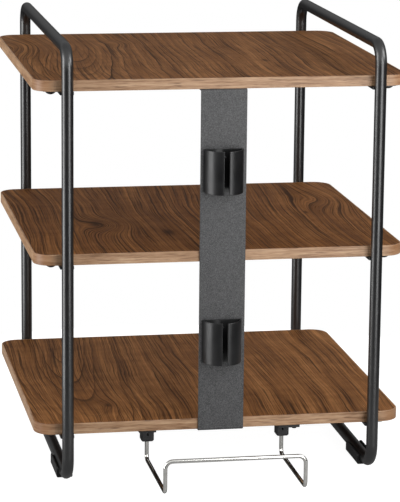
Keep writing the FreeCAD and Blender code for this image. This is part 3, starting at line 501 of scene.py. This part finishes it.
def makeMetal(name):
    look = metals[name]
    material, tree, shader, coords = newMaterial(name)
    cloud = noise(tree, coords, *metalSkin["cloud"])
    fine = noise(tree, coords, look["grain"])
    color = mottle(tree, cloud, metalSkin["dull"], look["color"], look["dull"])
    cover(tree, shader, color, span(tree, fine, *noiseRange, look["rough"], look["rough"] + look["spread"]))
    shader.inputs["Metallic"].default_value = 1.0
    shader.inputs["Specular Tint"].default_value = look["rim"]
    return material


dress(makeMetal("drawn_wire"), "wire_cradle")
dress(makeMetal("zinc"), "shelf_inserts")

# blackened screws
screwLook = {
    "base": (24, 24, 25), "rub": (70, 70, 70), "rough": 0.34, "spread": 0.14, "cloud": (220.0, 3.0, 0.6),
    "rubSpan": (0.55, 0.8),
}


def makeScrewBlack():
    look = screwLook
    material, tree, shader, coords = newMaterial("screw_black")
    cloud = noise(tree, coords, *look["cloud"])
    color = mottle(tree, cloud, look["rubSpan"], look["base"], look["rub"])
    cover(tree, shader, color, span(tree, cloud, *noiseRange, look["rough"], look["rough"] + look["spread"]))
    return material


screwBlack = makeScrewBlack()
dress(screwBlack, "shelf_screws", "spine_screws", "clip_screws", "socket_screws")
print("metal and screws done")

# small pan head screws with a cross in the head; a spot is where the head meets what it clamps
panScrew = {
    "headRadius": 0.0037, "headHeight": 0.0024, "headRound": 0.0012, "roundSteps": 4, "sides": 32,
    "shankRadius": 0.002, "tip": 0.001, "tipTaper": 0.6, "sharpAngle": 35.0,
    "crossHalf": 0.0005, "crossLong": 0.0021, "crossDeep": 0.0013, "crossTaper": 0.6, "spin": 0.7,
}
screwRows = {
    "spine_screws": {
        "name": "spine_pan_screws", "length": 0.012, "turn": 0.0,
        "spots": [(x, -0.1635, z) for z in (0.58, 0.072) for x in (-0.02, 0.02)],
    },
    "clip_screws": {
        "name": "clip_pan_screws", "length": 0.0066, "turn": -math.pi / 2.0,
        "spots": [(0.0, -0.1931, z) for z in (0.191, 0.227, 0.445, 0.481)],
    },
    "socket_screws": {
        "name": "socket_pan_screws", "length": 0.014, "turn": 0.0,
        "spots": [(-0.1005, -0.156, 0.07), (-0.1155, -0.156, 0.07), (0.1135, -0.181, 0.07), (0.1135, -0.166, 0.07)],
    },
}
tiny = 1e-5
facing = 0.9


def pickFaces(piece, test):
    bpy.ops.object.mode_set(mode="EDIT")
    bpy.ops.mesh.select_mode(type="FACE")
    bpy.ops.mesh.select_all(action="DESELECT")
    bpy.ops.object.mode_set(mode="OBJECT")
    for face in piece.data.polygons:
        face.select = test(face.center, face.normal)
    bpy.ops.object.mode_set(mode="EDIT")


def pushFaces(rise, shrink=1.0):
    bpy.ops.mesh.extrude_region_move(TRANSFORM_OT_translate={"value": (0.0, 0.0, rise)})
    if shrink != 1.0:
        bpy.ops.transform.resize(value=(shrink, shrink, 1.0), center_override=(0.0, 0.0, 0.0))


def makePanScrew(length):
    look = panScrew
    half, long, height = look["crossHalf"], look["crossLong"], look["headHeight"]

    def onCap(center, normal):
        return normal.z < -facing and center.z < tiny - height

    def inCross(center, normal):
        near, far = sorted((abs(center.x), abs(center.y)))
        return onCap(center, normal) and near < half and far < long

    def onTop(center, normal):
        return normal.z > facing and center.z > -tiny

    bpy.ops.object.select_all(action="DESELECT")
    bpy.ops.mesh.primitive_cylinder_add(
        vertices=look["sides"], radius=look["headRadius"], depth=height, location=(0.0, 0.0, -height / 2.0))
    screw = bpy.context.active_object
    bpy.ops.object.transform_apply(location=True)
    pickFaces(screw, onCap)
    bpy.ops.mesh.bevel(offset=look["headRound"], segments=look["roundSteps"], affect="EDGES")
    # the cross is cut out of the cap and pressed in
    for step in (-long, -half, half, long):
        for side in ((1.0, 0.0, 0.0), (0.0, 1.0, 0.0)):
            pickFaces(screw, onCap)
            bpy.ops.mesh.bisect(plane_co=Vector(side) * step, plane_no=side)
    pickFaces(screw, inCross)
    pushFaces(look["crossDeep"], look["crossTaper"])
    # the shank stands on the head's other face
    pickFaces(screw, onTop)
    bpy.ops.mesh.inset(thickness=look["headRadius"] - look["shankRadius"])
    pushFaces(length - look["tip"])
    pushFaces(look["tip"], look["tipTaper"])
    bpy.ops.object.mode_set(mode="OBJECT")
    bpy.ops.object.shade_smooth_by_angle(angle=math.radians(look["sharpAngle"]))
    screw.data.materials.append(screwBlack)
    return screw


def setScrews(node, row):
    screw = makePanScrew(row["length"])
    copies = []
    for count, spot in enumerate(row["spots"]):
        piece = screw.copy()
        piece.data = screw.data.copy()
        scene.collection.objects.link(piece)
        turned = Matrix.Rotation(row["turn"], 4, "X") @ Matrix.Rotation(count * panScrew["spin"], 4, "Z")
        piece.matrix_world = Matrix.Translation(spot) @ turned
        copies.append(piece)
    bpy.data.objects.remove(screw)
    bpy.ops.object.select_all(action="DESELECT")
    for piece in copies:
        piece.select_set(True)
    bpy.context.view_layer.objects.active = copies[0]
    bpy.ops.object.join()
    bpy.ops.object.transform_apply(location=True, rotation=True, scale=True)
    copies[0].name = row["name"]
    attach(copies[0], "rack")
    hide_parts(node)


for screwNode, screwRow in screwRows.items():
    setScrews(screwNode, screwRow)
print("pan head screws set:", len(screwRows), "rows")

# floor: white to the camera, dim in reflections
floorLook = {
    "radius": 0.75, "sides": 96, "level": -0.0005, "tone": (0.30, 0.30, 0.30, 1.0), "rough": 0.9,
    "glow": 0.97, "mirrored": 0.09,
}


def makeFloor():
    look = floorLook
    bpy.ops.object.select_all(action="DESELECT")
    bpy.ops.mesh.primitive_circle_add(
        vertices=look["sides"], radius=look["radius"], fill_type="NGON", location=(0.0, 0.0, look["level"]))
    floor = bpy.context.active_object
    floor.name = "studio_floor"
    bpy.ops.object.transform_apply(location=True)
    material, tree, shader = newMaterial("studio_floor")[:3]
    cover(tree, shader, look["tone"], look["rough"])
    shader.inputs["Specular IOR Level"].default_value = 0.0
    glow = tree.nodes.new("ShaderNodeEmission")
    glow.inputs["Color"].default_value = white
    seen, gloss = seenDirectly(tree)
    seen = calc(tree, "MAXIMUM", seen, product(tree, gloss, look["mirrored"]))
    feed(tree, glow.inputs["Strength"], product(tree, seen, look["glow"]))
    both = tree.nodes.new("ShaderNodeAddShader")
    feed(tree, both.inputs[0], shader.outputs[0])
    feed(tree, both.inputs[1], glow.outputs[0])
    # clear from below, so that the underside can be looked at
    clear = tree.nodes.new("ShaderNodeBsdfTransparent")
    under = tree.nodes.new("ShaderNodeMixShader")
    feed(tree, under.inputs[0], tree.nodes.new("ShaderNodeNewGeometry").outputs["Backfacing"])
    feed(tree, under.inputs[1], both.outputs[0])
    feed(tree, under.inputs[2], clear.outputs[0])
    feed(tree, tree.nodes["Material Output"].inputs["Surface"], under.outputs[0])
    floor.data.materials.append(material)


makeFloor()

# plain white to the camera; for light and gloss dimmer, and darker to the right; spans are in x, y and z of a direction
worldLook = {
    "light": 0.45, "left": 0.40, "right": 0.04, "above": 0.8, "behind": 0.3, "seen": 1.0,
    "leftSpan": (-0.95, -0.6), "backSpan": (-0.5, 0.5), "riseSpan": (0.02, 0.40),
}


def makeWorld():
    look = worldLook
    world = bpy.data.worlds.new("studio")
    scene.world = world
    world.use_nodes = True
    tree = world.node_tree
    back = tree.nodes["Background"]
    back.inputs["Color"].default_value = white
    x, y, z = split(tree, tree.nodes.new("ShaderNodeTexCoord").outputs["Generated"])
    walls = span(tree, x, *look["leftSpan"], look["left"], look["right"])
    ceiling = span(tree, y, *look["backSpan"], look["above"], look["behind"])
    mirrored = total(tree, walls, product(tree, ceiling, span(tree, z, *look["riseSpan"])))
    seen, gloss = seenDirectly(tree)
    level = span(tree, gloss, 0.0, 1.0, look["light"], mirrored)
    feed(tree, back.inputs["Strength"], span(tree, seen, 0.0, 1.0, level, look["seen"]))


makeWorld()

lamps = {
    "key_right": {
        "spot": (0.58, -1.42, 0.66), "aim": (0.0, 0.0, 0.58), "size": (0.70, 1.46), "watts": 14.0, "gloss": True,
    },
    "side_right": {
        "spot": (1.25, -0.75, 1.50), "aim": (0.0, 0.07, 0.3), "size": (0.8, 0.8), "watts": 10.0, "gloss": True,
    },
    "back_fill": {
        "spot": (0.30, 2.30, 0.90), "aim": (0.0, 0.07, 0.40), "size": (1.6, 1.2), "watts": 18.0, "gloss": False,
    },
    "left_wall": {
        "spot": (-2.30, -0.20, 0.65), "aim": (0.0, 0.07, 0.5), "size": (1.25, 2.5), "watts": 46.0, "gloss": True,
    },
}


def makeLamps():
    for name, look in lamps.items():
        light = bpy.data.lights.new(name, "AREA")
        light.shape = "RECTANGLE"
        light.size, light.size_y = look["size"]
        light.energy = look["watts"]
        lamp = bpy.data.objects.new(name, light)
        scene.collection.objects.link(lamp)
        lamp.location = look["spot"]
        lamp.visible_camera = False
        lamp.visible_glossy = look["gloss"]
        toAim = Vector(look["aim"]) - Vector(look["spot"])
        lamp.rotation_euler = toAim.to_track_quat("-Z", "Y").to_euler()


makeLamps()
print("stage lit")

# camera from the photograph: place in metres, turn, tilt and roll in radians, focal length and height in pixels
view = {
    "spot": (-0.68244, -3.73176, 1.12763), "turn": 0.1812, "tilt": 0.2142, "roll": 0.0097,
    "focal": 2528.26, "height": 502, "sensor": 36.0, "reach": 60.0,
}


def makeCamera():
    turn, tilt, roll = view["turn"], view["tilt"], view["roll"]
    right = Vector((math.cos(turn), -math.sin(turn), 0.0))
    level = Vector((math.sin(turn), math.cos(turn), 0.0))
    down = Vector((0.0, 0.0, -1.0))
    ahead = level * math.cos(tilt) + down * math.sin(tilt)
    lower = down * math.cos(tilt) - level * math.sin(tilt)
    across = right * math.cos(roll) - lower * math.sin(roll)
    under = right * math.sin(roll) + lower * math.cos(roll)
    lens = bpy.data.cameras.new("photo_camera")
    lens.sensor_width = view["sensor"]
    lens.lens = view["focal"] / view["height"] * view["sensor"]
    lens.clip_end = view["reach"]
    camera = bpy.data.objects.new("photo_camera", lens)
    scene.collection.objects.link(camera)
    turned = Matrix((across, -under, -ahead)).transposed().to_4x4()
    camera.matrix_world = Matrix.Translation(Vector(view["spot"])) @ turned
    scene.camera = camera


makeCamera()
scene.view_settings.view_transform = "Standard"
print("camera set")
